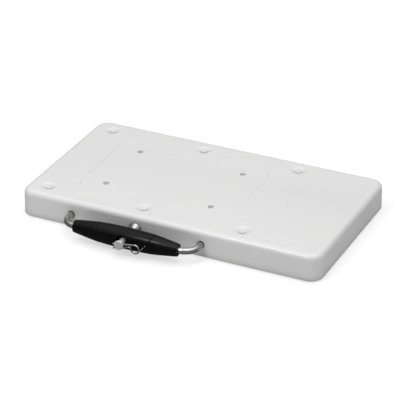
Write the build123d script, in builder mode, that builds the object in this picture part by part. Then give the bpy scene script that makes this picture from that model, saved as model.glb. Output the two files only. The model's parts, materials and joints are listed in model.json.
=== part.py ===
from build123d import *
import math
import os

# Floor base of a portable security gate, with a pull-out carry handle.
# Millimetres. +X runs along the base, the handle is on the -Y side, +Z is up.
# The origin is on the floor, under the middle of the case.

os.makedirs("parts", exist_ok=True)

STAND_UP = (Align.CENTER, Align.CENTER, Align.MIN)
HANG_DOWN = (Align.CENTER, Align.CENTER, Align.MAX)

# ---- Driving dimensions: floor mat and base plate ----
MAT_T = 3.0
MAT_L, MAT_W, MAT_R = 486.0, 259.0, 14.0
MAT_PROUD = 1.5  # the mat stands this far below the case's lower edge
GROOVE_W, GROOVE_DEPTH, GROOVE_END = 3.0, 1.0, 12.0  # the grooves stop short of the edge
GROOVE_XS = (-200, -120, -40, 40, 120, 200)
PLATE_T = 3.0
PLATE_L, PLATE_W, PLATE_R = 493.0, 266.0, 15.5

# ---- Case ----
CASE_L, CASE_W, CASE_H = 500.0, 273.0, 42.8  # length and width at the top face
CASE_R = 20.0
CASE_TOP_R = 8.6
CASE_LOWER_R = 2.0
DRAFT = 0.77  # degrees, wider towards the floor
WALL = 3.5

CASE_Z0 = MAT_PROUD
CASE_Z1 = CASE_Z0 + CASE_H
ROOF_Z = CASE_Z1 - WALL
FLOOR_Z = MAT_T + PLATE_T  # top of the base plate, where the inside is built up

# ---- Pedestal pad and its four bolts ----
PAD_X = -50.0
PAD_L, PAD_W, PAD_R, PAD_DEPTH = 260.0, 173.0, 22.0, 1.0
PAD_SLOPE, PAD_EDGE_R = 45.0, 1.0  # the pad's edge slopes in by this many degrees
BOLT_DX, BOLT_DY, BOLT_HOLE_R = 180.0, 118.0, 5.0
BOSS_R, BOSS_CLEAR = 7.0, 0.1
STRAP_T, STRAP_W, STRAP_L, STRAP_R = 4.0, 32.0, 150.0, 6.0
PILLAR_R, PILLAR_THREAD_R = 8.0, 4.0
STRAP_Z = ROOF_Z - STRAP_T

# ---- Cover screws, in dished recesses under white caps ----
SCREW_XS = (-215.0, -50.0, 115.0)
SCREW_Y = 107.0
DISH_R, DISH_FLOOR_R, DISH_DEPTH = 12.5, 7.8, 2.0
DISH_RIM_R, DISH_FOOT_R = 4.0, 3.0
CAP_R, CAP_T, CAP_CLEAR, CAP_EDGE_R = 6.0, 1.9, 0.15, 0.4
CAP_PROUD = 1.2  # the cap stands this far above the dish's floor
POST_R = 10.0
BUSH_R, BUSH_H, BUSH_BORE_R = 6.0, 8.0, 2.5
HEAD_R, HEAD_H, HEAD_POCKET_R = 4.75, 2.7, 5.2
SHANK_R, SHANK_HOLE_R, SHANK_SHORT = 2.45, 2.7, 0.5  # a shank ends this far above the plate
AIR = 0.1  # gap left between a cap and its screw, and under the cap
DISH_Z = CASE_Z1 - DISH_DEPTH
SEAT_Z = DISH_Z - CAP_T - HEAD_H - AIR  # underside of the screw head
RIB_T, RIB_Z = 2.5, 36.0

# ---- Bridge over the release rod ----
BRIDGE_TOP, BRIDGE_T, BRIDGE_W, BRIDGE_D = 35.0, 6.0, 52.0, 20.0
BRIDGE_LEG, BRIDGE_FOOT_W, BRIDGE_FOOT_T = 8.0, 76.0, 3.0
BRIDGE_SCREW_DX, BRIDGE_HEAD_H = 64.0, 4.0

# ---- Ballast ----
BALLAST_Y, BALLAST_T, BALLAST_R, BALLAST_CHAMFER = 90.0, 24.0, 6.0, 1.0
BALLAST_LEFT_XS = (-236.0, -182.0)
BALLAST_RIGHT_XS = (88.0, 236.0)
BALLAST_SCREWS_LEFT = [(-209.0, -70.0), (-209.0, 70.0)]
BALLAST_SCREWS_RIGHT = [(x, y) for x in (105.0, 219.0) for y in (-70.0, 70.0)]
BALLAST_SHANK_R, BALLAST_HOLE_R = 2.95, 3.05
BALLAST_HEAD_R, BALLAST_HEAD_H = 5.0, 6.0

# ---- Handle: two bent arms, a crossbar inside, a three-piece grip ----
ROD_X, ROD_Z, ROD_R = -50.0, 22.0, 5.0
LEG_HALF = 110.0
LEG_HOLE_R = 6.0
BEND_R = 20.5
GRIP_Y = -166.8
ARM_GAP = 12.0  # each arm stops this far from the release rod's axis
RUNNING = 0.06  # radial clearance of a sliding rod
GRIP_HALF, GRIP_END_R, GRIP_MID_R = 87.5, 9.8, 16.8
SEAM_HALF, SEAM_R, SEAM_GAP = 46.5, 15.4, 0.2
SEAM_EDGE_R, SEAM_BEND_R, SLEEVE_END_R = 0.9, 14.0, 1.2
SLEEVE_MID_X, SLEEVE_MID_R = 67.0, 12.85
SEAM_BEND_Z, SEAM_FOOT_HALF, SEAM_FOOT_Z = 12.0, 22.5, -18.0
POCKET_R, POCKET_DEPTH = 10.5, 10.0  # recess in the grip that takes the rod's head
PIN_R, PIN_X = 2.0, 18.0
PIN_TOP, PIN_L, PIN_CHAMFER = ROD_Z + 7.0, 21.0, 0.4
GRIP_BORE_CLEAR = 0.3  # round the release rod, inside the grip
TRAVEL, END_CLEAR = 80.0, 0.5

BAR_Y, BAR_D = 38.0, 16.0
BAR_Z0, BAR_Z1 = 15.0, 29.0
BAR_OVERHANG, BAR_CORNER_R = 14.0, 2.5
SLOT_CLEAR, SPIGOT_CLEAR = 0.1, 0.3
THREAD_R, THREAD_L, THREAD_CHAMFER = 4.0, 26.0, 0.8
NUT_AF, NUT_H = 13.0, 6.5
WASHER_R, WASHER_T, WASHER_CLEAR = 7.0, 1.6, 0.2
BAR_FRONT = BAR_Y - BAR_D / 2
BAR_BACK = BAR_Y + BAR_D / 2

# ---- Guides and end stops: the crossbar meets the buffers when the handle is out ----
BUFFER_T, BUFFER_R, BUFFER_BORE_R = 4.0, 9.0, 5.6
GUIDE_Y0, GUIDE_Y1 = -132.5, BAR_FRONT - TRAVEL - END_CLEAR - BUFFER_T
GUIDE_W, GUIDE_TOP, GUIDE_EDGE_R = 20.0, 32.0, 3.0
FLANGE_W, FLANGE_T, FLANGE_Y0, FLANGE_Y1, FLANGE_R = 38.0, 6.0, -130.0, -84.0, 4.0
FLANGE_SCREW_DX, FLANGE_SCREW_DY = 29.6, 32.0
GUIDE_HEAD_R, GUIDE_HEAD_H = 4.25, 5.0
STOP_XS = (-105.0, 5.0)
STOP_W, STOP_D, STOP_H, STOP_R, STOP_EDGE_R = 16.0, 12.0, 20.0, 2.5, 1.5

# ---- Release rod, latch and hairpin clip ----
HEAD_FRONT, ROD_HEAD_R, ROD_HEAD_T, ROD_HEAD_CHAMFER = -193.1, 7.5, 3.0, 0.5
CONE_Y, SPIGOT_R, SPIGOT_END = 34.3, 2.5, 49.0
RING_Y, RING_T, RING_R, RING_BORE_R, RING_OPENING, RING_CLEAR = 46.1, 1.1, 5.0, 1.95, 2.6, 0.05
LATCH_W, LATCH_D, LATCH_Z0, LATCH_Z1, LATCH_CHAMFER = 18.0, 8.0, 6.2, 29.5, 0.3
WINDOW_W, WINDOW_Z0, CAM_GAP = 10.4, 14.0, 0.07
SPRING_R, SPRING_WIRE_R, SPRING_TURNS, SPRING_TOP = 3.6, 0.5, 4, 38.5
SPRING_FOOT = LATCH_Z1 + SPRING_WIRE_R + 0.05  # centre of the wire at the lower end
CAP_SHEET, CAP_INNER_W, CAP_FOOT_W, CAP_D = 1.5, 21.0, 42.0, 10.0
CAP_SCREW_DX, CAP_SCREW_R, CAP_SCREW_L = 32.0, 1.45, 7.0
CAP_SCREW_HEAD_R, CAP_SCREW_HEAD_H = 2.6, 2.4
CATCH_Y0, CATCH_Y1, CATCH_H, CATCH_W = 28.9, 33.8, 2.0, 34.0
FERRULE_TIP, FERRULE_BACK, FERRULE_END = -145.6, -136.6, -124.0
FERRULE_R, FERRULE_TIP_R, FERRULE_SHANK_R, FERRULE_RIM = 10.75, 7.0, 6.9, 1.6
FERRULE_EDGE_R, FERRULE_SEAT_CLEAR = 0.5, 0.25
FERRULE_NUT_AF, FERRULE_NUT_T, FERRULE_NUT_Y = 20.0, 5.0, -133.0

CLIP_Y, CLIP_WIRE_R, CLIP_TILT = -187.9, 1.25, 9.0
CLIP_TAIL = 12.0  # length of the straight leg that stands out of the rod
# the wire's path: a straight length, then a bend's radius and its angle, left turns positive
CLIP_BENDS = [(36.6, 6.9, -270.0), (0.0, 3.2, 105.0), (8.7, 10.0, -15.0), (9.2, 32.0, 10.0)]

HANDLE_PLANE = Plane.XY.offset(ROD_Z)
GRIP_AXIS = Axis((0, GRIP_Y, ROD_Z), (1, 0, 0))
ROD_AXIS = Axis((ROD_X, 0, ROD_Z), (0, 1, 0))
CLIP_DIR = (math.cos(math.radians(CLIP_TILT)), 0, math.sin(math.radians(CLIP_TILT)))
CLIP_PLANE = Plane(origin=(ROD_X, CLIP_Y, ROD_Z), x_dir=CLIP_DIR, z_dir=(0, -1, 0))

SCREW_POINTS = [(x, y) for x in SCREW_XS for y in (-SCREW_Y, SCREW_Y)]
MIDDLE_FRONT = (ROD_X, -SCREW_Y)  # this screw stands over the release rod
LONG_SCREW_POINTS = [p for p in SCREW_POINTS if p != MIDDLE_FRONT]
BOLT_POINTS = [(PAD_X + i * BOLT_DX / 2, j * BOLT_DY / 2) for i in (-1, 1) for j in (-1, 1)]
LEG_XS = (ROD_X - LEG_HALF, ROD_X + LEG_HALF)
GUIDE_SCREW_POINTS = [
    (x + i * FLANGE_SCREW_DX / 2, (FLANGE_Y0 + FLANGE_Y1) / 2 + j * FLANGE_SCREW_DY / 2)
    for x in LEG_XS
    for i in (-1, 1)
    for j in (-1, 1)
]
BRIDGE_SCREW_POINTS = [(ROD_X + i * BRIDGE_SCREW_DX / 2, -SCREW_Y) for i in (-1, 1)]
CAP_SCREW_POINTS = [(ROD_X + i * CAP_SCREW_DX / 2, BAR_Y) for i in (-1, 1)]


def at_height(points, z):
    """Give plan points a height."""
    return [(x, y, z) for x, y in points]


def circles_of(part, radius):
    """The part's circular edges of this radius."""
    circles = part.edges().filter_by(GeomType.CIRCLE)
    return circles.filter_by(lambda edge: abs(edge.radius - radius) < 0.01)


def make_screws(points, seat_z, shank_r, shank_l, head_r, head_h):
    """Socket-head screws, head up, with the head's underside at seat_z."""
    with BuildPart() as screws:
        with Locations(*at_height(points, seat_z)):
            Cylinder(head_r, head_h, align=STAND_UP)
            Cylinder(shank_r, shank_l, align=HANG_DOWN)
        with BuildSketch(Plane.XY.offset(seat_z + head_h)):
            with Locations(*points):
                RegularPolygon(head_r * 0.5, 6)
        extrude(amount=-head_h * 0.6, mode=Mode.SUBTRACT)
    return screws


# ============ Base: mat, plate, cover ============

with BuildPart() as non_slip_mat:
    with BuildSketch():
        RectangleRounded(MAT_L, MAT_W, MAT_R)
    extrude(amount=MAT_T)
    with BuildSketch():
        with Locations(*[(x, 0) for x in GROOVE_XS]):
            Rectangle(GROOVE_W, MAT_W - 2 * GROOVE_END)
    extrude(amount=GROOVE_DEPTH, mode=Mode.SUBTRACT)
non_slip_mat.part.label = "non_slip_mat"
export_step(non_slip_mat.part, "parts/non_slip_mat.step")

with BuildPart() as base_plate:
    with BuildSketch(Plane.XY.offset(MAT_T)):
        RectangleRounded(PLATE_L, PLATE_W, PLATE_R)
    extrude(amount=PLATE_T)
    with Locations(*at_height(GUIDE_SCREW_POINTS + BRIDGE_SCREW_POINTS, FLOOR_Z)):
        Hole(BUSH_BORE_R)
    with Locations(*at_height(BALLAST_SCREWS_LEFT + BALLAST_SCREWS_RIGHT, FLOOR_Z)):
        Hole(BALLAST_HOLE_R)
base_plate.part.label = "base_plate"
export_step(base_plate.part, "parts/base_plate.step")

with BuildPart() as top_cover:
    with BuildSketch(Plane.XY.offset(CASE_Z1)):
        RectangleRounded(CASE_L, CASE_W, CASE_R)
    extrude(amount=-CASE_H, taper=-DRAFT)
    fillet(top_cover.faces().sort_by(Axis.Z)[-1].edges(), CASE_TOP_R)
    fillet(top_cover.faces().sort_by(Axis.Z)[0].edges(), CASE_LOWER_R)
    # hollow it from below
    with BuildSketch(Plane.XY.offset(ROOF_Z)):
        RectangleRounded(CASE_L - 2 * WALL, CASE_W - 2 * WALL, CASE_R - WALL)
    extrude(amount=CASE_Z0 - ROOF_Z, taper=-DRAFT, mode=Mode.SUBTRACT)
    inner_roof = top_cover.faces().filter_by(Axis.Z).sort_by(Axis.Z)[-2]
    fillet(inner_roof.edges(), CASE_TOP_R - WALL)
    # ribs under the roof, then the screw posts
    with BuildSketch(Plane.XY.offset(ROOF_Z)):
        with Locations(*[(ROD_X, y) for y in (-SCREW_Y, SCREW_Y)]):
            Rectangle(SCREW_XS[2] - SCREW_XS[0], RIB_T)
        with Locations(*[(x, 0) for x in (SCREW_XS[0], SCREW_XS[2])]):
            Rectangle(RIB_T, 2 * SCREW_Y)
    extrude(amount=RIB_Z - ROOF_Z)
    with Locations(*at_height(LONG_SCREW_POINTS, ROOF_Z)):
        Cylinder(POST_R, ROOF_Z - FLOOR_Z - BUSH_H, align=HANG_DOWN)
    with Locations((*MIDDLE_FRONT, ROOF_Z)):
        Cylinder(POST_R, ROOF_Z - BRIDGE_TOP, align=HANG_DOWN)
    # pedestal pad, sunk into the top
    with BuildSketch(Plane.XY.offset(CASE_Z1)):
        with Locations((PAD_X, 0)):
            RectangleRounded(PAD_L, PAD_W, PAD_R)
    extrude(amount=-PAD_DEPTH, taper=PAD_SLOPE, mode=Mode.SUBTRACT)
    pad_face, top_face = top_cover.faces().filter_by(Axis.Z).sort_by(Axis.Z)[-2:]
    pad_edges = top_face.inner_wires()[0].edges() + pad_face.outer_wire().edges()
    fillet(pad_edges, PAD_EDGE_R)
    # the bolt holes' bosses pass through the straps and stand on the pillars
    with Locations(*at_height(BOLT_POINTS, ROOF_Z)):
        Cylinder(BOSS_R, STRAP_T, align=HANG_DOWN)
    with Locations(*at_height(BOLT_POINTS, CASE_Z1)):
        Hole(BOLT_HOLE_R, depth=CASE_Z1 - STRAP_Z)
    # dished screw recesses
    with Locations(*at_height(SCREW_POINTS, CASE_Z1)):
        Cone(DISH_FLOOR_R, DISH_R, DISH_DEPTH, align=HANG_DOWN, mode=Mode.SUBTRACT)
    fillet(circles_of(top_cover, DISH_R), DISH_RIM_R)
    fillet(circles_of(top_cover, DISH_FLOOR_R), DISH_FOOT_R)
    with Locations(*at_height(SCREW_POINTS, DISH_Z)):
        CounterBoreHole(SHANK_HOLE_R, HEAD_POCKET_R, DISH_Z - SEAT_Z, depth=DISH_Z - FLOOR_Z)
        Hole(CAP_R + CAP_CLEAR, depth=CAP_T + AIR)
    # holes for the handle's legs and the ferrule, and the ferrule's flat seat
    with BuildSketch(Plane.XZ.offset(CASE_W / 2 - 2 * WALL)):
        with Locations(*[(x, ROD_Z) for x in LEG_XS]):
            Circle(LEG_HOLE_R)
        with Locations((ROD_X, ROD_Z)):
            Circle(FERRULE_SHANK_R + RUNNING)
    extrude(amount=4 * WALL, mode=Mode.SUBTRACT)
    with BuildSketch(Plane.XZ.offset(-FERRULE_BACK)):
        with Locations((ROD_X, ROD_Z)):
            Circle(FERRULE_R + FERRULE_SEAT_CLEAR)
    extrude(amount=WALL, mode=Mode.SUBTRACT)
top_cover.part.label = "top_cover"
export_step(top_cover.part, "parts/top_cover.step")

with BuildPart() as cover_bushes:
    with Locations(*at_height(LONG_SCREW_POINTS, FLOOR_Z)):
        Cylinder(BUSH_R, BUSH_H, align=STAND_UP)
        Cylinder(BUSH_BORE_R, BUSH_H, align=STAND_UP, mode=Mode.SUBTRACT)
cover_bushes.part.label = "cover_bushes"
export_step(cover_bushes.part, "parts/cover_bushes.step")

# Steel bridge over the release rod, which holds the middle front cover screw
with BuildPart() as centre_bridge:
    with BuildSketch(Plane.XZ.offset(SCREW_Y - BRIDGE_D / 2)):
        with Locations((ROD_X, FLOOR_Z)):
            Rectangle(BRIDGE_W, BRIDGE_TOP - FLOOR_Z, align=(Align.CENTER, Align.MIN))
            Rectangle(BRIDGE_FOOT_W, BRIDGE_FOOT_T, align=(Align.CENTER, Align.MIN))
            Rectangle(
                BRIDGE_W - 2 * BRIDGE_LEG,
                BRIDGE_TOP - BRIDGE_T - FLOOR_Z,
                align=(Align.CENTER, Align.MIN),
                mode=Mode.SUBTRACT,
            )
    extrude(amount=BRIDGE_D)
    with Locations((*MIDDLE_FRONT, BRIDGE_TOP)):
        Hole(BUSH_BORE_R, depth=BRIDGE_T)
    with Locations(*at_height(BRIDGE_SCREW_POINTS, FLOOR_Z + BRIDGE_FOOT_T)):
        Hole(SHANK_HOLE_R, depth=BRIDGE_FOOT_T)
centre_bridge.part.label = "centre_bridge"
export_step(centre_bridge.part, "parts/centre_bridge.step")

bridge_screws = make_screws(
    BRIDGE_SCREW_POINTS,
    FLOOR_Z + BRIDGE_FOOT_T,
    SHANK_R,
    BRIDGE_FOOT_T + PLATE_T,
    HEAD_R,
    BRIDGE_HEAD_H,
)
bridge_screws.part.label = "bridge_screws"
export_step(bridge_screws.part, "parts/bridge_screws.step")

cover_screws = make_screws(
    LONG_SCREW_POINTS, SEAT_Z, SHANK_R, SEAT_Z - FLOOR_Z - SHANK_SHORT, HEAD_R, HEAD_H
)
cover_screws.part.label = "cover_screws"
export_step(cover_screws.part, "parts/cover_screws.step")

middle_cover_screw = make_screws(
    [MIDDLE_FRONT],
    SEAT_Z,
    SHANK_R,
    SEAT_Z - BRIDGE_TOP + BRIDGE_T - SHANK_SHORT,
    HEAD_R,
    HEAD_H,
)
middle_cover_screw.part.label = "middle_cover_screw"
export_step(middle_cover_screw.part, "parts/middle_cover_screw.step")

with BuildPart() as screw_caps:
    with Locations(*at_height(SCREW_POINTS, DISH_Z + CAP_PROUD)):
        Cylinder(CAP_R, CAP_T + CAP_PROUD, align=HANG_DOWN)
    fillet(screw_caps.faces().filter_by(Axis.Z).group_by(Axis.Z)[-1].edges(), CAP_EDGE_R)
screw_caps.part.label = "screw_caps"
export_step(screw_caps.part, "parts/screw_caps.step")

# ============ Pedestal mounting and ballast ============

with BuildPart() as pedestal_pillars:
    with Locations(*at_height(BOLT_POINTS, FLOOR_Z)):
        Cylinder(PILLAR_R, STRAP_Z - FLOOR_Z, align=STAND_UP)
        Cylinder(PILLAR_THREAD_R, STRAP_Z - FLOOR_Z, align=STAND_UP, mode=Mode.SUBTRACT)
pedestal_pillars.part.label = "pedestal_pillars"
export_step(pedestal_pillars.part, "parts/pedestal_pillars.step")


def make_strap(x):
    """Steel strap under the pad, across the two pillars at x."""
    with BuildPart() as strap:
        with BuildSketch(Plane.XY.offset(STRAP_Z)):
            with Locations((x, 0)):
                RectangleRounded(STRAP_W, STRAP_L, STRAP_R)
            with Locations(*[(x, j * BOLT_DY / 2) for j in (-1, 1)]):
                Circle(BOSS_R + BOSS_CLEAR, mode=Mode.SUBTRACT)
        extrude(amount=STRAP_T)
    return strap


pedestal_strap_left = make_strap(PAD_X - BOLT_DX / 2)
pedestal_strap_left.part.label = "pedestal_strap_left"
export_step(pedestal_strap_left.part, "parts/pedestal_strap_left.step")

pedestal_strap_right = make_strap(PAD_X + BOLT_DX / 2)
pedestal_strap_right.part.label = "pedestal_strap_right"
export_step(pedestal_strap_right.part, "parts/pedestal_strap_right.step")


def make_ballast(x0, x1, screw_points):
    """Steel ballast block between x0 and x1, with holes for its screws."""
    with BuildPart() as ballast:
        with BuildSketch(Plane.XY.offset(FLOOR_Z)):
            with Locations(((x0 + x1) / 2, 0)):
                RectangleRounded(x1 - x0, 2 * BALLAST_Y, BALLAST_R)
        extrude(amount=BALLAST_T)
        chamfer(ballast.faces().sort_by(Axis.Z)[-1].edges(), BALLAST_CHAMFER)
        with Locations(*at_height(screw_points, FLOOR_Z + BALLAST_T)):
            Hole(BALLAST_HOLE_R, depth=BALLAST_T)
    return ballast


ballast_left = make_ballast(*BALLAST_LEFT_XS, BALLAST_SCREWS_LEFT)
ballast_left.part.label = "ballast_left"
export_step(ballast_left.part, "parts/ballast_left.step")

ballast_right = make_ballast(*BALLAST_RIGHT_XS, BALLAST_SCREWS_RIGHT)
ballast_right.part.label = "ballast_right"
export_step(ballast_right.part, "parts/ballast_right.step")

ballast_screws = make_screws(
    BALLAST_SCREWS_LEFT + BALLAST_SCREWS_RIGHT,
    FLOOR_Z + BALLAST_T,
    BALLAST_SHANK_R,
    BALLAST_T + PLATE_T,
    BALLAST_HEAD_R,
    BALLAST_HEAD_H,
)
ballast_screws.part.label = "ballast_screws"
export_step(ballast_screws.part, "parts/ballast_screws.step")

# ============ Guides, stops, ferrule and catch, all fixed to the case ============


def make_guide(x):
    """Nylon guide block for the leg at x, with a screw flange on each side."""
    with BuildPart() as guide:
        with BuildSketch(Plane.XY.offset(FLOOR_Z)):
            with Locations((x, (GUIDE_Y0 + GUIDE_Y1) / 2)):
                Rectangle(GUIDE_W, GUIDE_Y1 - GUIDE_Y0)
        extrude(amount=GUIDE_TOP - FLOOR_Z)
        fillet(guide.edges().filter_by(Axis.Y).group_by(Axis.Z)[-1], GUIDE_EDGE_R)
        with BuildSketch(Plane.XY.offset(FLOOR_Z)):
            with Locations((x, (FLANGE_Y0 + FLANGE_Y1) / 2)):
                RectangleRounded(FLANGE_W, FLANGE_Y1 - FLANGE_Y0, FLANGE_R)
        extrude(amount=FLANGE_T)
        with BuildSketch(Plane.XZ.offset(-GUIDE_Y1)):
            with Locations((x, ROD_Z)):
                Circle(ROD_R + RUNNING)
        extrude(amount=GUIDE_Y1 - GUIDE_Y0, mode=Mode.SUBTRACT)
        screw_points = [p for p in GUIDE_SCREW_POINTS if abs(p[0] - x) < FLANGE_W]
        with Locations(*at_height(screw_points, FLOOR_Z + FLANGE_T)):
            Hole(SHANK_HOLE_R, depth=FLANGE_T)
    return guide


guide_left = make_guide(LEG_XS[0])
guide_left.part.label = "guide_left"
export_step(guide_left.part, "parts/guide_left.step")

guide_right = make_guide(LEG_XS[1])
guide_right.part.label = "guide_right"
export_step(guide_right.part, "parts/guide_right.step")

guide_screws = make_screws(
    GUIDE_SCREW_POINTS,
    FLOOR_Z + FLANGE_T,
    SHANK_R,
    FLANGE_T + PLATE_T,
    GUIDE_HEAD_R,
    GUIDE_HEAD_H,
)
guide_screws.part.label = "guide_screws"
export_step(guide_screws.part, "parts/guide_screws.step")

# Rubber rings on the guides' inner ends: they stop the crossbar when the handle is out
with BuildPart() as guide_buffers:
    with BuildSketch(Plane.XZ.offset(-GUIDE_Y1)):
        with Locations(*[(x, ROD_Z) for x in LEG_XS]):
            Circle(BUFFER_R)
            Circle(BUFFER_BORE_R, mode=Mode.SUBTRACT)
    extrude(amount=-BUFFER_T)
guide_buffers.part.label = "guide_buffers"
export_step(guide_buffers.part, "parts/guide_buffers.step")

# Rubber stops behind the crossbar: they stop the handle when it is pushed in
with BuildPart() as rear_stops:
    with BuildSketch(Plane.XY.offset(FLOOR_Z)):
        with Locations(*[(x, BAR_BACK + END_CLEAR + STOP_D / 2) for x in STOP_XS]):
            RectangleRounded(STOP_W, STOP_D, STOP_R)
    extrude(amount=STOP_H)
    fillet(rear_stops.faces().filter_by(Axis.Z).group_by(Axis.Z)[-1].edges(), STOP_EDGE_R)
rear_stops.part.label = "rear_stops"
export_step(rear_stops.part, "parts/rear_stops.step")

with BuildPart() as ferrule:
    with BuildSketch(HANDLE_PLANE):
        with BuildLine():
            bore_x = ROD_X + ROD_R + RUNNING
            Polyline(
                (bore_x, FERRULE_TIP),
                (ROD_X + FERRULE_TIP_R, FERRULE_TIP),
                (ROD_X + FERRULE_R, FERRULE_BACK - FERRULE_RIM),
                (ROD_X + FERRULE_R, FERRULE_BACK),
                (ROD_X + FERRULE_SHANK_R, FERRULE_BACK),
                (ROD_X + FERRULE_SHANK_R, FERRULE_END),
                (bore_x, FERRULE_END),
                close=True,
            )
        make_face()
    revolve(axis=ROD_AXIS)
    outer_edges = ferrule.edges().filter_by(GeomType.CIRCLE).sort_by(Axis.Y)
    fillet(outer_edges[:2], FERRULE_EDGE_R)
ferrule.part.label = "ferrule"
export_step(ferrule.part, "parts/ferrule.step")

with BuildPart() as ferrule_nut:
    with BuildSketch(Plane.XZ.offset(-FERRULE_NUT_Y)):
        with Locations((ROD_X, ROD_Z)):
            RegularPolygon(FERRULE_NUT_AF / 2, 6, major_radius=False)
            Circle(FERRULE_SHANK_R + RUNNING, mode=Mode.SUBTRACT)
    extrude(amount=-FERRULE_NUT_T)
ferrule_nut.part.label = "ferrule_nut"
export_step(ferrule_nut.part, "parts/ferrule_nut.step")

# Catch bar welded to the base plate: upright at the back, ramped at the front
with BuildPart() as catch_bar:
    with BuildSketch(Plane.YZ.offset(ROD_X - CATCH_W / 2)):
        with BuildLine():
            Polyline(
                (CATCH_Y0, FLOOR_Z),
                (CATCH_Y1, FLOOR_Z),
                (CATCH_Y1, FLOOR_Z + CATCH_H),
                (CATCH_Y0 + CATCH_H, FLOOR_Z + CATCH_H),
                close=True,
            )
        make_face()
    extrude(amount=CATCH_W)
catch_bar.part.label = "catch_bar"
export_step(catch_bar.part, "parts/catch_bar.step")

# ============ Handle ============


def make_arm(side):
    """One bent arm of the handle: side is -1 on the left and +1 on the right."""
    leg_x = ROD_X + side * LEG_HALF
    with BuildPart() as arm:
        with BuildLine(HANDLE_PLANE):
            FilletPolyline(
                (leg_x, BAR_FRONT),
                (leg_x, GRIP_Y),
                (ROD_X + side * ARM_GAP, GRIP_Y),
                radius=BEND_R,
            )
        with BuildSketch(Plane.XZ.offset(-BAR_FRONT)):
            with Locations((leg_x, ROD_Z)):
                Circle(ROD_R)
        sweep()
        with BuildSketch(Plane.XZ.offset(-BAR_FRONT)):
            with Locations((leg_x, ROD_Z)):
                Circle(THREAD_R)
        extrude(amount=-THREAD_L)
        chamfer(arm.faces().sort_by(Axis.Y)[-1].edges(), THREAD_CHAMFER)
        with Locations((ROD_X + side * PIN_X, GRIP_Y, ROD_Z + ROD_R)):
            Hole(PIN_R + RUNNING, depth=2 * ROD_R)
    return arm


handle_arm_left = make_arm(-1)
handle_arm_left.part.label = "handle_arm_left"
export_step(handle_arm_left.part, "parts/handle_arm_left.step")

handle_arm_right = make_arm(1)
handle_arm_right.part.label = "handle_arm_right"
export_step(handle_arm_right.part, "parts/handle_arm_right.step")


def barrel_section():
    """Half section of the whole grip: an arched middle and two tapering ends."""
    with BuildSketch(HANDLE_PLANE) as section:
        with BuildLine():
            for side in (-1, 1):
                ThreePointArc(
                    (ROD_X + side * SEAM_HALF, GRIP_Y + SEAM_R),
                    (ROD_X + side * SLEEVE_MID_X, GRIP_Y + SLEEVE_MID_R),
                    (ROD_X + side * GRIP_HALF, GRIP_Y + GRIP_END_R),
                )
                Line(
                    (ROD_X + side * GRIP_HALF, GRIP_Y + GRIP_END_R),
                    (ROD_X + side * GRIP_HALF, GRIP_Y),
                )
            ThreePointArc(
                (ROD_X - SEAM_HALF, GRIP_Y + SEAM_R),
                (ROD_X, GRIP_Y + GRIP_MID_R),
                (ROD_X + SEAM_HALF, GRIP_Y + SEAM_R),
            )
            Line((ROD_X - GRIP_HALF, GRIP_Y), (ROD_X + GRIP_HALF, GRIP_Y))
        make_face()
    return section.sketch


def seam_outline(grow):
    """Front view of the grip's middle block: upright sides that turn inward below."""
    with BuildSketch(Plane.XZ.offset(-GRIP_Y - 1.5 * GRIP_MID_R)) as outline:
        with BuildLine():
            Polyline(
                (ROD_X - SEAM_HALF, ROD_Z + 1.2 * GRIP_MID_R),
                (ROD_X + SEAM_HALF, ROD_Z + 1.2 * GRIP_MID_R),
                (ROD_X + SEAM_HALF, ROD_Z + SEAM_BEND_Z),
                (ROD_X + SEAM_FOOT_HALF, ROD_Z + SEAM_FOOT_Z),
                (ROD_X - SEAM_FOOT_HALF, ROD_Z + SEAM_FOOT_Z),
                (ROD_X - SEAM_HALF, ROD_Z + SEAM_BEND_Z),
                close=True,
            )
        make_face()
        shoulders = outline.vertices().group_by(Axis.Y)[1]
        fillet(shoulders, SEAM_BEND_R)
        if grow:
            offset(amount=grow, kind=Kind.INTERSECTION)
    return outline.sketch


with BuildPart() as grip_centre:
    revolve(barrel_section(), axis=GRIP_AXIS)
    extrude(seam_outline(0), amount=3 * GRIP_MID_R, mode=Mode.INTERSECT)
    fillet(grip_centre.edges(), SEAM_EDGE_R)
    with BuildSketch(Plane.YZ.offset(ROD_X - GRIP_HALF)):
        with Locations((GRIP_Y, ROD_Z)):
            Circle(ROD_R + RUNNING)
    extrude(amount=2 * GRIP_HALF, mode=Mode.SUBTRACT)
    with BuildSketch(Plane.XZ.offset(-GRIP_Y)):
        with Locations((ROD_X, ROD_Z)):
            Circle(ROD_R + GRIP_BORE_CLEAR)
    extrude(amount=2 * GRIP_MID_R, both=True, mode=Mode.SUBTRACT)
    with BuildSketch(Plane.XZ.offset(-GRIP_Y + GRIP_MID_R - POCKET_DEPTH)):
        with Locations((ROD_X, ROD_Z)):
            Circle(POCKET_R)
    extrude(amount=POCKET_DEPTH + 1, mode=Mode.SUBTRACT)
    with Locations(*[(ROD_X + i * PIN_X, GRIP_Y, ROD_Z + 1.6 * ROD_R) for i in (-1, 1)]):
        Cylinder(PIN_R + RUNNING, 2 * GRIP_MID_R, align=HANG_DOWN, mode=Mode.SUBTRACT)
grip_centre.part.label = "grip_centre"
export_step(grip_centre.part, "parts/grip_centre.step")


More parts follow.
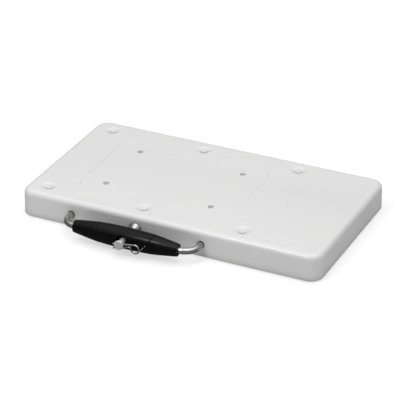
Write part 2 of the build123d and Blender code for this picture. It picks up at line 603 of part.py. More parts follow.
def make_sleeve(keep):
    """One end of the grip, on the side of the middle plane that keep names."""
    with BuildPart() as sleeve:
        revolve(barrel_section(), axis=GRIP_AXIS)
        fillet(sleeve.faces().filter_by(Axis.X).edges(), SLEEVE_END_R)
        extrude(seam_outline(SEAM_GAP), amount=3 * GRIP_MID_R, mode=Mode.SUBTRACT)
        x0, x1 = ROD_X - SLEEVE_MID_X, ROD_X + SLEEVE_MID_X
        fillet(sleeve.edges().filter_by_position(Axis.X, x0, x1), SEAM_EDGE_R)
        with BuildSketch(Plane.YZ.offset(ROD_X - GRIP_HALF)):
            with Locations((GRIP_Y, ROD_Z)):
                Circle(ROD_R + RUNNING)
        extrude(amount=2 * GRIP_HALF, mode=Mode.SUBTRACT)
        split(bisect_by=Plane.YZ.offset(ROD_X), keep=keep)
    return sleeve


grip_sleeve_left = make_sleeve(Keep.BOTTOM)
grip_sleeve_left.part.label = "grip_sleeve_left"
export_step(grip_sleeve_left.part, "parts/grip_sleeve_left.step")

grip_sleeve_right = make_sleeve(Keep.TOP)
grip_sleeve_right.part.label = "grip_sleeve_right"
export_step(grip_sleeve_right.part, "parts/grip_sleeve_right.step")

# Pins pushed up from below the grip, one through the end of each arm
with BuildPart() as arm_pins:
    with Locations(*[(ROD_X + i * PIN_X, GRIP_Y, PIN_TOP) for i in (-1, 1)]):
        Cylinder(PIN_R, PIN_L, align=HANG_DOWN)
    chamfer(arm_pins.edges().filter_by(GeomType.CIRCLE), PIN_CHAMFER)
arm_pins.part.label = "arm_pins"
export_step(arm_pins.part, "parts/arm_pins.step")

with BuildPart() as crossbar:
    with BuildSketch(Plane.XY.offset(BAR_Z0)):
        with Locations((ROD_X, BAR_Y)):
            RectangleRounded(2 * (LEG_HALF + BAR_OVERHANG), BAR_D, BAR_CORNER_R)
            Rectangle(
                LATCH_W + 2 * SLOT_CLEAR, LATCH_D + 2 * SLOT_CLEAR, mode=Mode.SUBTRACT
            )
    extrude(amount=BAR_Z1 - BAR_Z0)
    with BuildSketch(Plane.XZ.offset(-BAR_FRONT)):
        with Locations(*[(x, ROD_Z) for x in LEG_XS]):
            Circle(THREAD_R + RUNNING)
        with Locations((ROD_X, ROD_Z)):
            Circle(SPIGOT_R + SPIGOT_CLEAR)
    extrude(amount=-BAR_D, mode=Mode.SUBTRACT)
    with BuildSketch(Plane.XZ.offset(-BAR_FRONT)):
        with Locations((ROD_X, ROD_Z)):
            Circle(ROD_R + RUNNING)
    extrude(amount=-BAR_D / 2, mode=Mode.SUBTRACT)
    with Locations(*at_height(CAP_SCREW_POINTS, BAR_Z1)):
        Hole(CAP_SCREW_R + RUNNING, depth=CAP_SCREW_L + 1)
crossbar.part.label = "crossbar"
export_step(crossbar.part, "parts/crossbar.step")

with BuildPart() as crossbar_washers:
    with BuildSketch(Plane.XZ.offset(-BAR_BACK)):
        with Locations(*[(x, ROD_Z) for x in LEG_XS]):
            Circle(WASHER_R)
            Circle(THREAD_R + WASHER_CLEAR, mode=Mode.SUBTRACT)
    extrude(amount=-WASHER_T)
crossbar_washers.part.label = "crossbar_washers"
export_step(crossbar_washers.part, "parts/crossbar_washers.step")

with BuildPart() as crossbar_nuts:
    with BuildSketch(Plane.XZ.offset(-BAR_BACK - WASHER_T)):
        with Locations(*[(x, ROD_Z) for x in LEG_XS]):
            RegularPolygon(NUT_AF / 2, 6, major_radius=False)
            Circle(THREAD_R + RUNNING, mode=Mode.SUBTRACT)
    extrude(amount=-NUT_H)
crossbar_nuts.part.label = "crossbar_nuts"
export_step(crossbar_nuts.part, "parts/crossbar_nuts.step")

# ============ Latch and release rod ============

with BuildPart() as spring_cap:
    with BuildSketch(Plane.XZ.offset(-BAR_Y - CAP_D / 2)):
        with Locations((ROD_X, BAR_Z1)):
            Rectangle(
                CAP_INNER_W + 2 * CAP_SHEET,
                SPRING_TOP + CAP_SHEET - BAR_Z1,
                align=(Align.CENTER, Align.MIN),
            )
            Rectangle(CAP_FOOT_W, CAP_SHEET, align=(Align.CENTER, Align.MIN))
            Rectangle(
                CAP_INNER_W,
                SPRING_TOP - BAR_Z1,
                align=(Align.CENTER, Align.MIN),
                mode=Mode.SUBTRACT,
            )
    extrude(amount=CAP_D)
    with Locations(*at_height(CAP_SCREW_POINTS, BAR_Z1 + CAP_SHEET)):
        Hole(CAP_SCREW_R + WASHER_CLEAR, depth=CAP_SHEET)
spring_cap.part.label = "spring_cap"
export_step(spring_cap.part, "parts/spring_cap.step")

spring_cap_screws = make_screws(
    CAP_SCREW_POINTS,
    BAR_Z1 + CAP_SHEET,
    CAP_SCREW_R,
    CAP_SCREW_L,
    CAP_SCREW_HEAD_R,
    CAP_SCREW_HEAD_H,
)
spring_cap_screws.part.label = "spring_cap_screws"
export_step(spring_cap_screws.part, "parts/spring_cap_screws.step")

# The latch bolt is a yoke round the release rod. The rod's 45 degree cone lifts
# the sloped top of its window as far as the rod is pushed.
with BuildPart() as latch_bolt:
    with BuildSketch(Plane.XY.offset(LATCH_Z0)):
        with Locations((ROD_X, BAR_Y)):
            Rectangle(LATCH_W, LATCH_D)
    extrude(amount=LATCH_Z1 - LATCH_Z0)
    chamfer(latch_bolt.faces().sort_by(Axis.Z)[0].edges(), LATCH_CHAMFER)
    with BuildSketch(Plane.YZ.offset(ROD_X - WINDOW_W / 2)):
        with BuildLine():
            cone_end = CONE_Y + ROD_R - SPIGOT_R
            front = BAR_Y - LATCH_D / 2 - 1
            back = BAR_Y + LATCH_D / 2 + 1
            roof = ROD_Z + SPIGOT_R + CAM_GAP
            Polyline(
                (front, WINDOW_Z0),
                (back, WINDOW_Z0),
                (back, roof),
                (cone_end, roof),
                (front, roof + cone_end - front),
                close=True,
            )
        make_face()
    extrude(amount=WINDOW_W, mode=Mode.SUBTRACT)
latch_bolt.part.label = "latch_bolt"
export_step(latch_bolt.part, "parts/latch_bolt.step")

with BuildPart() as latch_spring:
    with BuildLine():
        coil_h = SPRING_TOP + LATCH_Z1 - 2 * SPRING_FOOT
        Helix(
            coil_h / SPRING_TURNS,
            coil_h,
            SPRING_R,
            center=(ROD_X, BAR_Y, SPRING_FOOT),
        )
    with BuildSketch(Plane.XZ.offset(-BAR_Y)):
        with Locations((ROD_X + SPRING_R, SPRING_FOOT)):
            Circle(SPRING_WIRE_R)
    sweep(is_frenet=True)
latch_spring.part.label = "latch_spring"
export_step(latch_spring.part, "parts/latch_spring.step")

with BuildPart() as release_rod:
    with BuildSketch(HANDLE_PLANE):
        with BuildLine():
            Polyline(
                (ROD_X, HEAD_FRONT),
                (ROD_X + ROD_HEAD_R, HEAD_FRONT),
                (ROD_X + ROD_HEAD_R, HEAD_FRONT + ROD_HEAD_T),
                (ROD_X + ROD_R, HEAD_FRONT + ROD_HEAD_T),
                (ROD_X + ROD_R, CONE_Y),
                (ROD_X + SPIGOT_R, CONE_Y + ROD_R - SPIGOT_R),
                (ROD_X + SPIGOT_R, RING_Y - RING_CLEAR),
                (ROD_X + RING_BORE_R - RING_CLEAR, RING_Y - RING_CLEAR),
                (ROD_X + RING_BORE_R - RING_CLEAR, RING_Y + RING_T + RING_CLEAR),
                (ROD_X + SPIGOT_R, RING_Y + RING_T + RING_CLEAR),
                (ROD_X + SPIGOT_R, SPIGOT_END),
                (ROD_X, SPIGOT_END),
                close=True,
            )
        make_face()
    revolve(axis=ROD_AXIS)
    head_edges = release_rod.edges().filter_by(GeomType.CIRCLE).sort_by(Axis.Y)[:2]
    chamfer(head_edges, ROD_HEAD_CHAMFER)
    with BuildSketch(Plane(origin=(ROD_X, CLIP_Y, ROD_Z), z_dir=CLIP_DIR)):
        Circle(CLIP_WIRE_R + RUNNING)
    extrude(amount=2 * ROD_R, both=True, mode=Mode.SUBTRACT)
release_rod.part.label = "release_rod"
export_step(release_rod.part, "parts/release_rod.step")

# Open ring in the spigot's groove, behind the crossbar
with BuildPart() as rod_retaining_ring:
    with BuildSketch(Plane.XZ.offset(-RING_Y)):
        with Locations((ROD_X, ROD_Z)):
            Circle(RING_R)
            Circle(RING_BORE_R, mode=Mode.SUBTRACT)
            Rectangle(
                RING_OPENING, 2 * RING_R, align=(Align.CENTER, Align.MAX), mode=Mode.SUBTRACT
            )
    extrude(amount=-RING_T)
rod_retaining_ring.part.label = "rod_retaining_ring"
export_step(rod_retaining_ring.part, "parts/rod_retaining_ring.step")

# Hairpin clip: a straight leg through the rod, a loop, and a leg that hugs the rod
with BuildPart() as hairpin_clip:
    with BuildLine(CLIP_PLANE) as clip_path:
        at, heading = Vector(-CLIP_TAIL, 0), 0.0
        for straight, radius, angle in CLIP_BENDS:
            along = Vector(1, 0).rotate(Axis.Z, heading)
            if straight:
                Line(tuple(at), tuple(at + along * straight))
            at += along * straight
            to_centre = Vector(0, math.copysign(radius, angle)).rotate(Axis.Z, heading)
            CenterArc(tuple(at + to_centre), radius, heading - math.copysign(90, angle), angle)
            at += to_centre - to_centre.rotate(Axis.Z, angle)
            heading += angle
    with BuildSketch(Plane(origin=clip_path.line @ 0, z_dir=CLIP_DIR)):
        Circle(CLIP_WIRE_R)
    sweep()
hairpin_clip.part.label = "hairpin_clip"
export_step(hairpin_clip.part, "parts/hairpin_clip.step")
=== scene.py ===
import json
import math

import bmesh
import bpy
from mathutils import Matrix, Vector

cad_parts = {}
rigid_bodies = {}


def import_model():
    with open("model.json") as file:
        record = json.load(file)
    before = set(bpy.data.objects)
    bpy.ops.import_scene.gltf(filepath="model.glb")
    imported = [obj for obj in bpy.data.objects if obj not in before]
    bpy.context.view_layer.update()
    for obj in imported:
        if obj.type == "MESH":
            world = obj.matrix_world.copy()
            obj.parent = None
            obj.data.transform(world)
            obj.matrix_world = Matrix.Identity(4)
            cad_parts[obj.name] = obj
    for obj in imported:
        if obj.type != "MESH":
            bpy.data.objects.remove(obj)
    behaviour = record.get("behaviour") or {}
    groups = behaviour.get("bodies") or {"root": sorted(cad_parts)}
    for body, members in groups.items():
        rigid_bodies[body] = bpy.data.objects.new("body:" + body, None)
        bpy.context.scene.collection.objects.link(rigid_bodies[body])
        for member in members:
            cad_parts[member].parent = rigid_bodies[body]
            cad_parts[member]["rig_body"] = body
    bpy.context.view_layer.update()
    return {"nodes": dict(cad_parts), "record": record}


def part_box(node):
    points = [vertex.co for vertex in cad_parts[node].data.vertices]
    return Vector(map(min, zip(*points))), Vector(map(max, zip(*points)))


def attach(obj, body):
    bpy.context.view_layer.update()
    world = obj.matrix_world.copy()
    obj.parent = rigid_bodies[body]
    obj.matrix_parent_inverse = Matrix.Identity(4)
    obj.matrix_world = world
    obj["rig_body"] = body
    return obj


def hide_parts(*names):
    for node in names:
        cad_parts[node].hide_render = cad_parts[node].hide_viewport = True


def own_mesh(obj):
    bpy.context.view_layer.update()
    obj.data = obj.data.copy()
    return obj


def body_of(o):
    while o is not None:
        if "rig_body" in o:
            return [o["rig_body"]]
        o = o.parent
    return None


# Looks for the floor base of a portable security gate. Metres, in the CAD frame:
# +X along the base, the handle on the -Y side, +Z up, the floor at z = 0.

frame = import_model()
NODES = frame["nodes"]

# ============ Node helpers ============


class Nodes:
    """A node tree, and short ways to add nodes to it."""

    def __init__(self, tree):
        self.tree = tree

    def node(self, kind, **settings):
        made = self.tree.nodes.new(kind)
        for key, value in settings.items():
            setattr(made, key, value)
        return made

    def plug(self, socket, value):
        if isinstance(value, bpy.types.NodeSocket):
            self.tree.links.new(value, socket)
        else:
            socket.default_value = value

    def math(self, operation, a, b=0.0):
        made = self.node("ShaderNodeMath", operation=operation)
        self.plug(made.inputs[0], a)
        self.plug(made.inputs[1], b)
        return made.outputs[0]

    def map_range(self, curve, *numbers):
        """A value put on another scale: numbers are the value, low, high, to_low and to_high."""
        made = self.node("ShaderNodeMapRange", interpolation_type=curve)
        for socket, number in zip(made.inputs, numbers):
            self.plug(socket, number)
        return made.outputs[0]

    def span(self, value, low, high, to_low=0.0, to_high=1.0):
        """Spread low..high to to_low..to_high, held at the ends."""
        return self.map_range("SMOOTHSTEP", value, low, high, to_low, to_high)

    def seen(self, others, this_kind, ray="Is Camera Ray"):
        """One value for this kind of ray, by default the camera's own, another for the others."""
        kind = self.node("ShaderNodeLightPath").outputs[ray]
        return self.map_range("LINEAR", kind, 0.0, 1.0, others, this_kind)

    def split(self, vector):
        """The X, Y and Z outputs of a vector."""
        parts = self.node("ShaderNodeSeparateXYZ")
        self.plug(parts.inputs[0], vector)
        return parts.outputs


class Paint(Nodes):
    """A Principled material, built from procedural textures on the CAD coordinates."""

    def __init__(self, name, metal=0.0):
        self.mat = bpy.data.materials.new(name)
        self.mat.use_nodes = True
        super().__init__(self.mat.node_tree)
        self.shader = self.tree.nodes["Principled BSDF"]
        self.xyz = self.node("ShaderNodeTexCoord").outputs["Object"]
        self.normal = None
        self.set("Metallic", metal)

    def set(self, name, value):
        self.plug(self.shader.inputs[name], value)

    def where(self, stretch=(1, 1, 1), shift=(0, 0, 0)):
        """The CAD coordinates, drawn out by stretch along each axis."""
        mapping = self.node("ShaderNodeMapping")
        self.plug(mapping.inputs["Vector"], self.xyz)
        mapping.inputs["Location"].default_value = shift
        mapping.inputs["Scale"].default_value = [1 / s for s in stretch]
        return mapping.outputs[0]

    def noise(self, size, detail=2.0, rough=0.5, stretch=(1, 1, 1)):
        """Noise from 0 to 1, with blobs about size metres across."""
        tex = self.node("ShaderNodeTexNoise")
        self.plug(tex.inputs["Vector"], self.where(stretch))
        tex.inputs["Scale"].default_value = 1 / size
        tex.inputs["Detail"].default_value = detail
        tex.inputs["Roughness"].default_value = rough
        return tex.outputs["Fac"]

    def cells(self, size):
        """Distance to the nearest of points about size metres apart."""
        tex = self.node("ShaderNodeTexVoronoi", feature="F1")
        self.plug(tex.inputs["Vector"], self.where())
        tex.inputs["Scale"].default_value = 1 / size
        return tex.outputs["Distance"]

    def mix(self, share, a, b):
        made = self.node("ShaderNodeMix", data_type="RGBA")
        self.plug(made.inputs[0], share)
        self.plug(made.inputs[6], (*a, 1.0) if isinstance(a, tuple) else a)
        self.plug(made.inputs[7], (*b, 1.0) if isinstance(b, tuple) else b)
        return made.outputs[2]

    def rings(self, centre, axis, pitch):
        """Fine turned lines round an axis through centre, 0 to 1."""
        offset = self.split(self.where(shift=[-c for c in centre]))
        flat = [offset[i] for i in range(3) if i != axis]
        squares = [self.math("MULTIPLY", f, f) for f in flat]
        radius = self.math("SQRT", self.math("ADD", *squares))
        tex = self.node("ShaderNodeTexNoise", noise_dimensions="1D")
        self.plug(tex.inputs["W"], self.math("MULTIPLY", radius, 1 / pitch))
        tex.inputs["Detail"].default_value = 3.0
        return tex.outputs["Fac"]

    def soften(self, radius):
        """Round the sharp edges in shading by radius."""
        bevel = self.node("ShaderNodeBevel", samples=4)
        bevel.inputs["Radius"].default_value = radius
        self.normal = bevel.outputs[0]

    def openness(self, distance):
        """0 in corners that faces within distance shut in, and 1 in the open."""
        hidden = self.node("ShaderNodeAmbientOcclusion", samples=8)
        hidden.inputs["Distance"].default_value = distance
        return self.span(hidden.outputs["AO"], 0.35, 0.95)

    def edges(self, radius):
        """1 on edges that are sharper than radius, 0 on open faces."""
        bevel = self.node("ShaderNodeBevel", samples=4)
        bevel.inputs["Radius"].default_value = radius
        flat = self.node("ShaderNodeNewGeometry").outputs["Normal"]
        dot = self.node("ShaderNodeVectorMath", operation="DOT_PRODUCT")
        self.plug(dot.inputs[0], bevel.outputs[0])
        self.plug(dot.inputs[1], flat)
        return self.span(dot.outputs["Value"], 0.98, 0.75)

    def relief(self, height, depth):
        """Add a bump of this depth in metres."""
        bump = self.node("ShaderNodeBump")
        bump.inputs["Distance"].default_value = depth
        bump.inputs["Strength"].default_value = 1.0
        self.plug(bump.inputs["Height"], height)
        if self.normal is not None:
            self.plug(bump.inputs["Normal"], self.normal)
        self.normal = bump.outputs[0]

    def done(self):
        if self.normal is not None:
            self.set("Normal", self.normal)
        return self.mat


# ============ Materials ============

MM = 0.001
CORNER_PAINTED_SHADE = (0.46, 0.457, 0.452)  # painted shade: the case's colour darkened deep in its corners
CORNER_REACH = 0.016  # how far the painted corner shade spreads
# painted light: the bolt holes' walls coloured lighter than the case
HOLE_WALL_PAINTED_LIGHT = (0.80, 0.80, 0.79)
EDGE_MARGIN = 0.0003  # keeps the bolt holes' painted light off the pad round them
HOLE_PAINTED_GLOW = 0.05  # painted light: a glow on the bolt holes' walls, standing in for light that soaks through the white plastic
SATIN_LENGTH = 0.020  # how much of the release rod's front end is satin


def bolt_hole_walls(p):
    """1 on the walls of the pedestal's bolt holes, found from the record's bolt pattern."""
    bolts = next(m for m in frame["record"]["mounts"] if m["name"] == "pedestal_bolts")
    at, dims = bolts["pos_m"], bolts["dims"]
    place = p.split(p.xyz)
    squares = []
    for axis, spacing in ((0, dims["spacing_x_mm"]), (1, dims["spacing_y_mm"])):
        offset = p.math("ABSOLUTE", p.math("SUBTRACT", place[axis], at[axis]))
        offset = p.math("SUBTRACT", offset, spacing * MM / 2)
        squares.append(p.math("MULTIPLY", offset, offset))
    distance = p.math("SQRT", p.math("ADD", *squares))
    near = p.math("LESS_THAN", distance, dims["hole_r_mm"] * MM + EDGE_MARGIN)
    below = p.math("LESS_THAN", place[2], at[2] - EDGE_MARGIN)
    return p.math("MULTIPLY", near, below)


def case_plastic():
    """White moulded case: fine spark-eroded grain, faint flow shading, painted shade in its
    corners and painted light in its bolt holes.
    """
    p = Paint("case_plastic")
    flow = p.noise(0.16, 3.0, 0.55, stretch=(2.2, 1, 1))
    tone = p.mix(p.span(flow, 0.3, 0.7), (0.692, 0.691, 0.689), (0.714, 0.713, 0.710))
    speck = p.span(p.noise(0.0011, 2.0, 0.6), 0.69, 0.76)
    tone = p.mix(p.math("MULTIPLY", speck, 0.12), tone, (0.52, 0.52, 0.51))
    # painted shade: darker where nearby faces shut in the light, in corners and recesses
    tone = p.mix(p.openness(CORNER_REACH), CORNER_PAINTED_SHADE, tone)
    # painted light: a lighter colour and a faint glow on the bolt holes' walls
    holes = bolt_hole_walls(p)
    p.set("Base Color", p.mix(holes, tone, HOLE_WALL_PAINTED_LIGHT))
    p.set("Emission Color", (1, 1, 1, 1))
    p.set("Emission Strength", p.math("MULTIPLY", holes, HOLE_PAINTED_GLOW))
    smear = p.noise(0.045, 4.0, 0.6, stretch=(1, 2.4, 1))
    p.set("Roughness", p.span(smear, 0.25, 0.75, 0.19, 0.27))
    p.set("IOR", 1.5)
    p.relief(p.noise(0.0007, 2.0, 0.55), 0.000012)
    p.relief(p.noise(0.06, 2.0, 0.5), 0.00012)
    return p.done()


def cap_plastic():
    """White screw caps, a little duller than the case."""
    p = Paint("cap_plastic")
    tone = p.mix(p.noise(0.02, 2.0), (0.666, 0.666, 0.664), (0.706, 0.705, 0.702))
    # painted shade: darker in corners and recesses, as on the case
    p.set("Base Color", p.mix(p.openness(CORNER_REACH), CORNER_PAINTED_SHADE, tone))
    p.set("Roughness", p.span(p.noise(0.008, 3.0), 0.3, 0.7, 0.26, 0.38))
    p.relief(p.noise(0.0009, 2.0), 0.00001)
    return p.done()


def grip_plastic():
    """Black satin grip: fine moulded grain, dulled where a hand rubs it."""
    p = Paint("grip_plastic")
    p.set("Specular IOR Level", 0.15)
    wear = p.noise(0.03, 4.0, 0.6, stretch=(2.5, 1, 1))
    rubbed = p.span(wear, 0.35, 0.75)
    p.set("Base Color", p.mix(rubbed, (0.0015, 0.0015, 0.0016), (0.004, 0.004, 0.0042)))
    p.set("Roughness", p.span(wear, 0.3, 0.7, 0.16, 0.24))
    p.relief(p.span(p.cells(0.0009), 0.1, 0.6), 0.000008)
    p.relief(p.noise(0.0005, 2.0), 0.000006)
    return p.done()


def bright_steel():
    """Polished stainless steel with faint drawn lines and handling marks."""
    p = Paint("bright_steel", metal=1.0)
    lines = p.noise(0.0008, 3.0, 0.6, stretch=(1, 40, 1))
    smear = p.noise(0.02, 4.0, 0.6)
    p.set("Base Color", p.mix(p.span(smear, 0.3, 0.8), (0.50, 0.495, 0.49), (0.41, 0.405, 0.40)))
    drawn, handled = p.span(lines, 0.3, 0.7, 0.0, 0.06), p.span(smear, 0.3, 0.7, 0.07, 0.15)
    p.set("Roughness", p.math("ADD", drawn, handled))
    p.relief(lines, 0.000006)
    return p.done()


def ferrule_steel():
    """Turned collar with fine lathe rings."""
    lo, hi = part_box("ferrule")
    p = Paint("ferrule_steel", metal=1.0)
    p.soften(0.0003)
    rings = p.rings((lo + hi) / 2, 1, 0.0003)
    along = p.noise(0.0005, 2.0, 0.5, stretch=(40, 1, 40))
    p.set("Base Color", p.mix(p.span(along, 0.3, 0.7), (0.38, 0.378, 0.375), (0.27, 0.27, 0.27)))
    p.set("Roughness", p.span(rings, 0.3, 0.7, 0.12, 0.24))
    p.relief(along, 0.000006)
    return p.done()


def rod_steel():
    """Ground rod. Its front end is satin, with fine rings from the lathe on the head's face."""
    lo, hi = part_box("release_rod")
    centre = (lo + hi) / 2
    p = Paint("rod_steel")
    p.soften(0.0003)
    front = p.math("LESS_THAN", p.split(p.xyz)[1], lo[1] + SATIN_LENGTH)
    rings = p.rings(centre, 1, 0.00035)
    face = p.mix(p.span(rings, 0.3, 0.7), (0.74, 0.735, 0.73), (0.62, 0.62, 0.62))
    ground = p.noise(0.0009, 3.0, 0.6, stretch=(1, 30, 1))
    shank = p.mix(p.span(ground, 0.3, 0.7), (0.52, 0.515, 0.51), (0.43, 0.43, 0.43))
    p.set("Base Color", p.mix(front, shank, face))
    p.set("Metallic", p.span(front, 0.0, 1.0, 1.0, 0.5))
    satin = p.span(rings, 0.3, 0.7, 0.34, 0.46)
    polished = p.span(ground, 0.3, 0.7, 0.14, 0.24)
    p.set("Roughness", p.math("MAXIMUM", polished, p.math("MULTIPLY", front, satin)))
    p.relief(rings, 0.00001)
    return p.done()


def plated_steel():
    """Bright zinc-nickel plating with a slightly cloudy bloom."""
    p = Paint("plated_steel", metal=1.0)
    p.soften(0.0002)
    bloom = p.noise(0.006, 4.0, 0.65)
    p.set("Base Color", p.mix(p.span(bloom, 0.3, 0.7), (0.70, 0.695, 0.68), (0.58, 0.585, 0.59)))
    p.set("Roughness", p.span(bloom, 0.3, 0.7, 0.14, 0.30))
    p.relief(p.noise(0.0006, 2.0), 0.000006)
    return p.done()


def fastener_steel():
    """Zinc-plated fasteners with a cloudy, bluish bloom."""
    p = Paint("fastener_steel", metal=1.0)
    p.soften(0.00025)
    bloom = p.noise(0.004, 4.0, 0.7)
    p.set("Base Color", p.mix(p.span(bloom, 0.3, 0.7), (0.56, 0.565, 0.58), (0.42, 0.43, 0.46)))
    p.set("Roughness", p.span(bloom, 0.3, 0.7, 0.24, 0.44))
    p.relief(p.noise(0.0008, 3.0), 0.00001)
    return p.done()


def plate_steel():
    """Galvanised sheet: spangled cells and a dull sheen."""
    p = Paint("plate_steel", metal=1.0)
    p.soften(0.0003)
    cells = p.cells(0.009)
    p.set("Base Color", p.mix(p.span(cells, 0.1, 0.8), (0.40, 0.41, 0.42), (0.55, 0.56, 0.57)))
    p.set("Roughness", p.span(cells, 0.0, 0.8, 0.34, 0.52))
    p.relief(p.noise(0.002, 3.0), 0.00002)
    return p.done()


def ballast_iron():
    """Cast iron under a dark paint, with the skin of the sand mould, bare on rubbed edges."""
    p = Paint("ballast_iron")
    sand = p.noise(0.0016, 4.0, 0.65)
    bare = p.math("MULTIPLY", p.edges(0.0015), p.span(p.noise(0.005, 3.0), 0.4, 0.6))
    skin = p.mix(sand, (0.04, 0.041, 0.044), (0.075, 0.076, 0.08))
    p.set("Base Color", p.mix(bare, skin, (0.32, 0.31, 0.30)))
    p.set("Metallic", bare)
    p.set("Roughness", p.span(sand, 0.3, 0.7, 0.45, 0.7))
    p.relief(sand, 0.00025)
    return p.done()


def bar_aluminium():
    """Extruded aluminium: lines along the bar."""
    p = Paint("bar_aluminium", metal=1.0)
    p.soften(0.0003)
    lines = p.noise(0.0006, 3.0, 0.6, stretch=(60, 1, 1))
    p.set("Base Color", p.mix(p.span(lines, 0.3, 0.7), (0.72, 0.72, 0.73), (0.60, 0.60, 0.61)))
    p.set("Roughness", p.span(lines, 0.3, 0.7, 0.26, 0.42))
    p.relief(lines, 0.000012)
    return p.done()


def bush_brass():
    """Turned brass with a little tarnish."""
    p = Paint("bush_brass", metal=1.0)
    p.soften(0.0002)
    lines = p.noise(0.0004, 2.0, 0.5, stretch=(60, 60, 1))
    stain = p.noise(0.004, 4.0, 0.6)
    p.set("Base Color", p.mix(p.span(stain, 0.35, 0.7), (0.66, 0.46, 0.18), (0.40, 0.25, 0.10)))
    p.set("Roughness", p.span(lines, 0.3, 0.7, 0.22, 0.40))
    p.relief(lines, 0.000012)
    return p.done()


def guide_nylon():
    """Natural nylon: milky, slightly translucent, machined."""
    p = Paint("guide_nylon")
    p.set("Subsurface Weight", 0.2)
    p.set("Subsurface Scale", 0.002)
    lines = p.noise(0.0009, 2.0, 0.5, stretch=(1, 30, 1))
    p.set("Base Color", p.mix(p.noise(0.01, 3.0), (0.60, 0.58, 0.52), (0.68, 0.66, 0.60)))
    p.set("Roughness", p.span(lines, 0.3, 0.7, 0.38, 0.55))
    p.relief(lines, 0.00002)
    return p.done()


def mat_rubber():
    """Black rubber with a pebbled skin and a grey bloom."""
    p = Paint("mat_rubber")
    pebble = p.cells(0.0014)
    p.set("Base Color", p.mix(p.noise(0.02, 4.0), (0.014, 0.014, 0.015), (0.034, 0.034, 0.035)))
    p.set("Roughness", p.span(p.noise(0.006, 3.0), 0.3, 0.7, 0.62, 0.85))
    p.relief(p.span(pebble, 0.0, 0.7), 0.00008)
    return p.done()


MAKERS = [
    case_plastic, cap_plastic, grip_plastic, bright_steel, rod_steel, plated_steel, fastener_steel,
    plate_steel, ballast_iron, bar_aluminium, bush_brass, guide_nylon, mat_rubber,
]
for old in list(bpy.data.materials):
    old.name = "cad_" + old.name
PAINTS = {make.__name__: make() for make in MAKERS}

for node in NODES.values():
    for holder in node.material_slots:
        holder.material = PAINTS[holder.material.name.removeprefix("cad_")]
NODES["ferrule"].material_slots[0].material = ferrule_steel()

# ============ Pieces built here ============

# a wire's end closes in three steps: a share of its radius, and how many radii along it sits
WIRE_END = [(0.35, 0.0), (0.8, 0.25), (1.0, 0.6)]
COIL_WIRE = 0.0005  # radius
COIL_TURNS, COIL_CLOSED = 6.5, 0.9  # turns in all, and closed ones at each end
COIL_PITCH_CLOSED = 2.1 * COIL_WIRE
COIL_STEPS = 40  # points to a turn


def tube(name, points, radius, sides=14):
    """A round wire of this radius along points, in metres, with softly rounded ends."""
    mesh = bmesh.new()
    rings = []
    first = (points[1] - points[0]).normalized()
    last = (points[-1] - points[-2]).normalized()
    stations = [(points[0] + first * radius * step, share, first) for share, step in WIRE_END]
    for before, point, after in zip(points[1:-3], points[2:-2], points[3:-1]):
        stations.append((point, 1.0, (after - before).normalized()))
    for share, step in reversed(WIRE_END):
        stations.append((points[-1] - last * radius * step, share, last))
    across = first.orthogonal().normalized()
    for point, share, along in stations:
        across = (across - along * across.dot(along)).normalized()
        other = along.cross(across)
        turns = [2 * math.pi * i / sides for i in range(sides)]
        rings.append([
            mesh.verts.new(point + (across * math.cos(t) + other * math.sin(t)) * radius * share)
            for t in turns
        ])
    for a, b in zip(rings, rings[1:]):
        for i in range(sides):
            j = (i + 1) % sides
            mesh.faces.new((a[i], a[j], b[j], b[i]))
    mesh.faces.new(list(reversed(rings[0])))
    mesh.faces.new(rings[-1])
    bmesh.ops.recalc_face_normals(mesh, faces=mesh.faces)
    data = bpy.data.meshes.new(name)
    mesh.to_mesh(data)
    mesh.free()
    data.shade_smooth()
    piece = bpy.data.objects.new(name, data)
    bpy.context.scene.collection.objects.link(piece)
    return piece


def latch_coil():
    """The latch spring with closed end turns."""
    lo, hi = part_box("latch_spring")
    centre = (lo + hi) / 2
    radius = (hi[0] - lo[0]) / 2 - COIL_WIRE
    low, high = lo[2] + COIL_WIRE, hi[2] - COIL_WIRE
    closed_rise = COIL_PITCH_CLOSED * COIL_CLOSED
    points = []
    for i in range(int(COIL_TURNS * COIL_STEPS) + 1):
        turn = i / COIL_STEPS
        if turn < COIL_CLOSED:
            z = low + COIL_PITCH_CLOSED * turn
        elif turn > COIL_TURNS - COIL_CLOSED:
            z = high - COIL_PITCH_CLOSED * (COIL_TURNS - turn)
        else:
            share = (turn - COIL_CLOSED) / (COIL_TURNS - 2 * COIL_CLOSED)
            z = low + closed_rise + share * (high - low - 2 * closed_rise)
        angle = 2 * math.pi * turn
        points.append(Vector((
            centre[0] + radius * math.cos(angle),
            centre[1] + radius * math.sin(angle),
            z,
        )))
    spring = tube("latch_coil", points, COIL_WIRE)
    spring.data.materials.append(PAINTS["fastener_steel"])
    body = body_of(NODES["latch_spring"])[0]
    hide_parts("latch_spring")
    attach(spring, body)
    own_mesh(spring)


latch_coil()

# ============ Floor, light and camera ============

# the floor's share of real shading and of glow, in the camera's view
FLOOR_SHADED, FLOOR_GLOW = 0.38, 0.61
# how much light it throws back on the object, and how bright it is in mirror images
FLOOR_BOUNCE, FLOOR_MIRRORED = 0.68, 0.20
# from where to where the floor fades to pure white, and by how much more it glows there
FAR_FLOOR, FAR_GLOW = (0.45, 2.2), 0.3


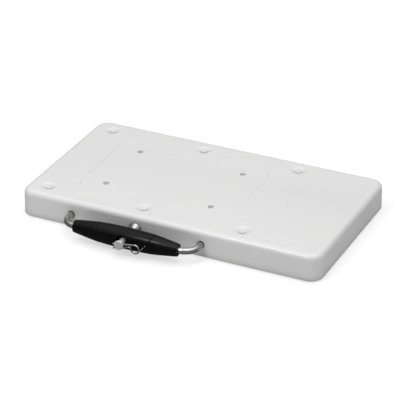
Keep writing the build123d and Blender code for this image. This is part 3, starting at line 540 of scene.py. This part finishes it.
def floor_material():
    """Seamless white paper: near white in view, with faint soft shadows."""
    p = Paint("studio_paper")
    p.set("Roughness", 0.9)
    p.set("Specular IOR Level", 0.0)
    fibre = p.span(p.noise(0.5, 3.0), 0.2, 0.8, 0.98, 1.02)
    thrown = p.seen(FLOOR_BOUNCE, FLOOR_MIRRORED, "Is Glossy Ray")
    shade = p.math("MULTIPLY", p.seen(thrown, FLOOR_SHADED), fibre)
    p.set("Base Color", shade)
    p.relief(p.noise(0.004, 3.0), 0.00001)
    radius = p.node("ShaderNodeVectorMath", operation="LENGTH")
    p.plug(radius.inputs[0], p.xyz)
    far = p.span(radius.outputs["Value"], *FAR_FLOOR, 0.0, FAR_GLOW)
    p.set("Emission Color", (1, 1, 1, 1))
    p.set("Emission Strength", p.math("ADD", p.seen(0.0, FLOOR_GLOW), far))
    return p.done()


FLOOR_HALF = 12.0
floor_mesh = bpy.data.meshes.new("studio_floor")
floor_mesh.from_pydata(
    [(x * FLOOR_HALF, y * FLOOR_HALF, 0.0) for x, y in ((-1, -1), (1, -1), (1, 1), (-1, 1))],
    [],
    [(0, 1, 2, 3)],
)
floor = bpy.data.objects.new("studio_floor", floor_mesh)
bpy.context.scene.collection.objects.link(floor)
floor_mesh.materials.append(floor_material())


def softbox(name, toward, distance, size, watts, target=(0.0, 0.0, 0.0)):
    """A square soft light that shines from the direction toward, at target."""
    data = bpy.data.lights.new(name, "AREA")
    data.shape = "RECTANGLE"
    data.size, data.size_y = size
    data.energy = watts
    light = bpy.data.objects.new(name, data)
    bpy.context.scene.collection.objects.link(light)
    direction = Vector(toward).normalized()
    light.location = Vector(target) + direction * distance
    light.rotation_mode = "QUATERNION"
    light.rotation_quaternion = direction.to_track_quat("Z", "Y")


softbox("overhead", (0.0, 0.0, 1.0), distance=2.0, size=(0.5, 0.5), watts=2.0)
# the strip stands where the middle of the case's front rounding mirrors it to the camera
softbox(
    "strip", (-0.375, -0.479, 0.794), distance=1.3, size=(0.24, 0.30), watts=3.0,
    target=(0.2, -0.136, 0.04),
)

# The studio is a large soft dome: bright overhead, dim towards the horizon and on the left
DOME_RIM, DOME_TOP, DOME_STEEPNESS = 0.14, 2.05, 3.0
DOME_LESS_RIGHT, DOME_LESS_BACK = -0.25, 0.08


def dome():
    """Light from all round, and plain white behind the object in the camera's view."""
    world = bpy.data.worlds.new("studio")
    bpy.context.scene.world = world
    world.use_nodes = True
    sky = Nodes(world.node_tree)
    toward = sky.split(sky.node("ShaderNodeTexCoord").outputs["Generated"])
    height = sky.math("MAXIMUM", toward["Z"], 0.0)
    overhead = sky.math("MULTIPLY", sky.math("POWER", height, DOME_STEEPNESS), DOME_TOP)
    lit = sky.math("ADD", overhead, DOME_RIM)
    to_right = sky.math("MULTIPLY", toward["X"], DOME_LESS_RIGHT)
    to_back = sky.math("MULTIPLY", toward["Y"], DOME_LESS_BACK)
    side = sky.math("SUBTRACT", sky.math("SUBTRACT", 1.0, to_right), to_back)
    background = sky.tree.nodes["Background"]
    sky.plug(background.inputs["Strength"], sky.seen(sky.math("MULTIPLY", lit, side), 1.0))
    background.inputs["Color"].default_value = (1, 1, 1, 1)


dome()

CAMERA_AZ, CAMERA_EL, CAMERA_ROLL = 0.440825, 0.498909, 0.0014364
CAMERA_DISTANCE = 3.23145
CAMERA_AIM = (0.00667, 0.00116, 0.0015)  # to the right, up the picture, and up in the world
LENS = 178.9

right = Vector((math.cos(CAMERA_AZ), math.sin(CAMERA_AZ), 0))
back = Vector((
    math.sin(CAMERA_AZ) * math.cos(CAMERA_EL),
    -math.cos(CAMERA_AZ) * math.cos(CAMERA_EL),
    math.sin(CAMERA_EL),
))
up = back.cross(right)
aim = right * CAMERA_AIM[0] + up * CAMERA_AIM[1] + Vector((0, 0, CAMERA_AIM[2]))
camera_data = bpy.data.cameras.new("camera")
camera_data.lens = LENS
camera_data.sensor_width = 36.0
camera_data.clip_start, camera_data.clip_end = 0.05, 100.0
camera = bpy.data.objects.new("camera", camera_data)
bpy.context.scene.collection.objects.link(camera)
tilt_right = right * math.cos(CAMERA_ROLL) + up * math.sin(CAMERA_ROLL)
tilt_up = up * math.cos(CAMERA_ROLL) - right * math.sin(CAMERA_ROLL)
pose = Matrix((tilt_right, tilt_up, back)).transposed().to_4x4()
camera.matrix_world = Matrix.Translation(aim + back * CAMERA_DISTANCE) @ pose
bpy.context.scene.camera = camera
bpy.context.scene.view_settings.view_transform = "Standard"
